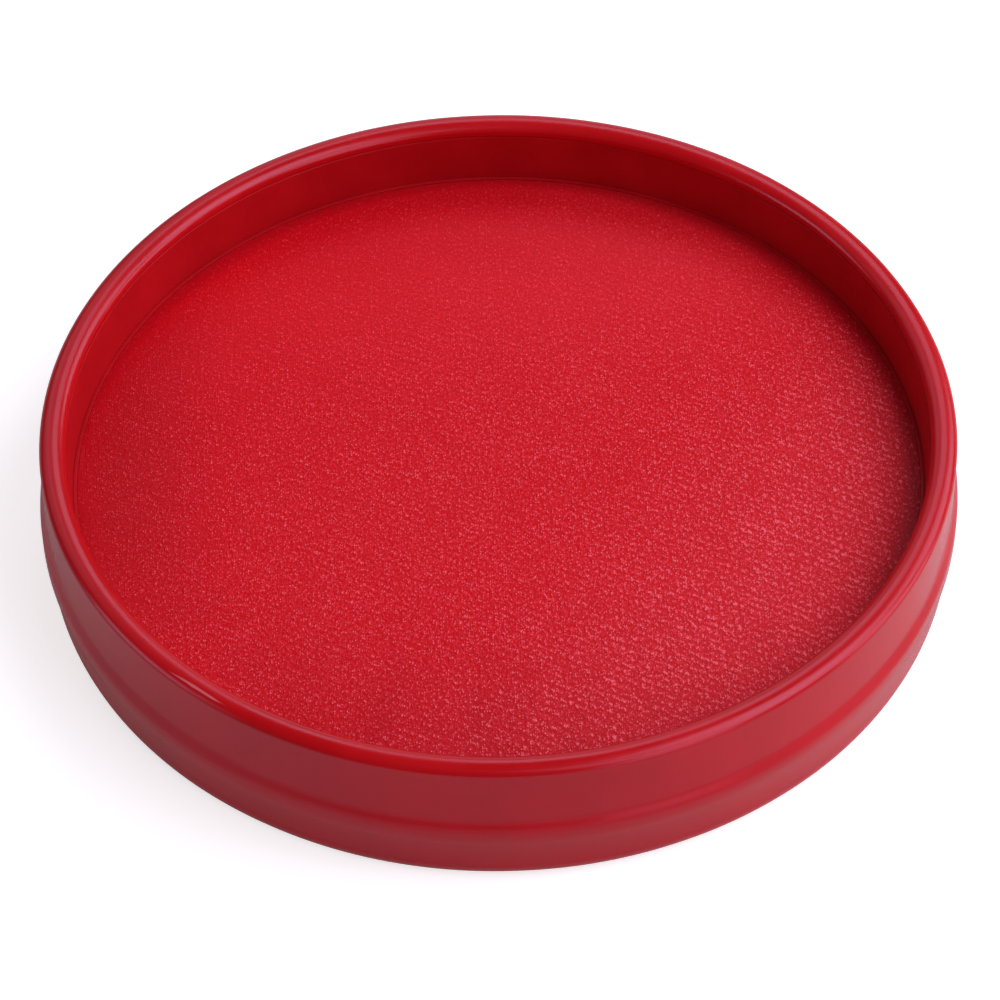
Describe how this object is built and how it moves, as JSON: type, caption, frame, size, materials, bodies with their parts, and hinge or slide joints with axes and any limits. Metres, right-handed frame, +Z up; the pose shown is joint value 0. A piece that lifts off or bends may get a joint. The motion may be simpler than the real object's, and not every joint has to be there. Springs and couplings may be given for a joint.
{
  "type": "round ink pad",
  "caption": "Round ink pad in a shallow enamelled tin with a rolled rim, a lid-stop bead and a lift-out cloth-covered felt pad.",
  "frame": {"origin": "middle of the tin's underside, on the plane that it rests on", "axes": "+Z up along the tin's axis, out of the open top; +X to the right and +Y away from the viewer of the picture"},
  "size_m": [0.081, 0.081, 0.014],
  "materials": {
    "tin_enamel": "gloss red stoved enamel on drawn tinplate",
    "tray_plastic": "smooth moulded red plastic",
    "board_plastic": "matt natural plastic, stained by ink",
    "inked_felt": "wool felt soaked with red ink",
    "inked_gauze": "open cotton gauze soaked with red ink",
    "inked_cloth": "fine twilled cloth wet with red ink",
    "hoop_plastic": "thin gloss red plastic"
  },
  "bodies": {
    "tin": {"base_shell": "tin_enamel", "ink_tray": "tray_plastic"},
    "pad": {"pad_board": "board_plastic", "reservoir_felt": "inked_felt", "gauze_layer": "inked_gauze", "ink_cloth": "inked_cloth", "cloth_hoop": "hoop_plastic"}
  },
  "joints": [
    {"name": "pad_lift", "type": "slide", "parent": "tin", "child": "pad", "axis": [0, 0, 1], "range_m": [0, 0.016]}
  ]
}
